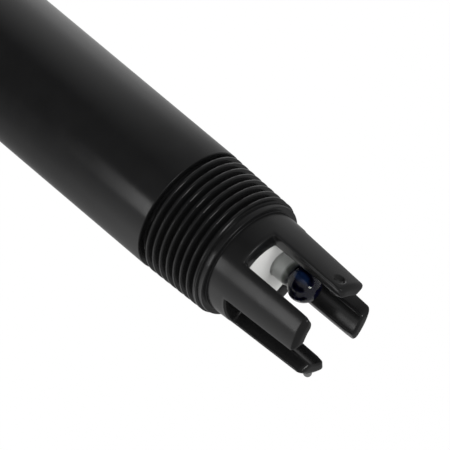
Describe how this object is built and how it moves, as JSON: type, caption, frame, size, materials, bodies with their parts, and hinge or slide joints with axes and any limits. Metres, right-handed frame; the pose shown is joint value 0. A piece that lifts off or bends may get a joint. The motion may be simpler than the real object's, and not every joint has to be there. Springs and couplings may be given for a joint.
{
  "type": "ph electrode",
  "caption": "Round black plastic in-line electrode with a tapered pipe thread, a slotted guard and an off-centre glass bulb that senses acidity.",
  "frame": {"origin": "centre of the rear face, on the electrode's axis", "axes": "+Z along the axis towards the tip; the glass bulb is off the axis towards -X"},
  "size_m": [0.0266, 0.0266, 0.1585],
  "materials": {
    "shell_plastic": "smooth semi-matt moulded black plastic",
    "disc_plastic": "porous white fluoroplastic",
    "clear_glass": "clear drawn and blown glass",
    "blue_solution": "dark blue inner solution",
    "seal_rubber": "moulded black rubber",
    "stopper_rubber": "soft red-brown silicone",
    "probe_steel": "drawn stainless steel",
    "silver_wire": "chlorided silver wire",
    "bead_ceramic": "glazed sensing bead",
    "frit_ceramic": "porous white ceramic",
    "white_insulation": "white lead insulation",
    "red_insulation": "red lead insulation",
    "black_insulation": "black lead insulation",
    "grey_gel": "thick salt gel",
    "reference_paste": "salt paste",
    "bulkhead_plastic": "turned grey plastic",
    "potting_resin": "cast black resin"
  },
  "bodies": {
    "root": {"nose": "shell_plastic", "body_tube": "shell_plastic", "rear_cap": "shell_plastic", "inlet_bush": "seal_rubber", "junction_disc": "disc_plastic", "stem_seal": "seal_rubber", "probe_seal": "seal_rubber", "glass_electrode": "clear_glass", "bulb_fill": "blue_solution", "inner_electrode": "silver_wire", "stem_stopper": "stopper_rubber", "glass_lead": "white_insulation", "temperature_probe": "probe_steel", "thermistor": "bead_ceramic", "probe_leads": "red_insulation", "reference_tube": "clear_glass", "reference_frit": "frit_ceramic", "reference_fill": "reference_paste", "reference_electrode": "silver_wire", "reference_stopper": "stopper_rubber", "reference_lead": "black_insulation", "electrolyte_gel": "grey_gel", "bulkhead": "bulkhead_plastic", "potting": "potting_resin"}
  },
  "joints": []
}
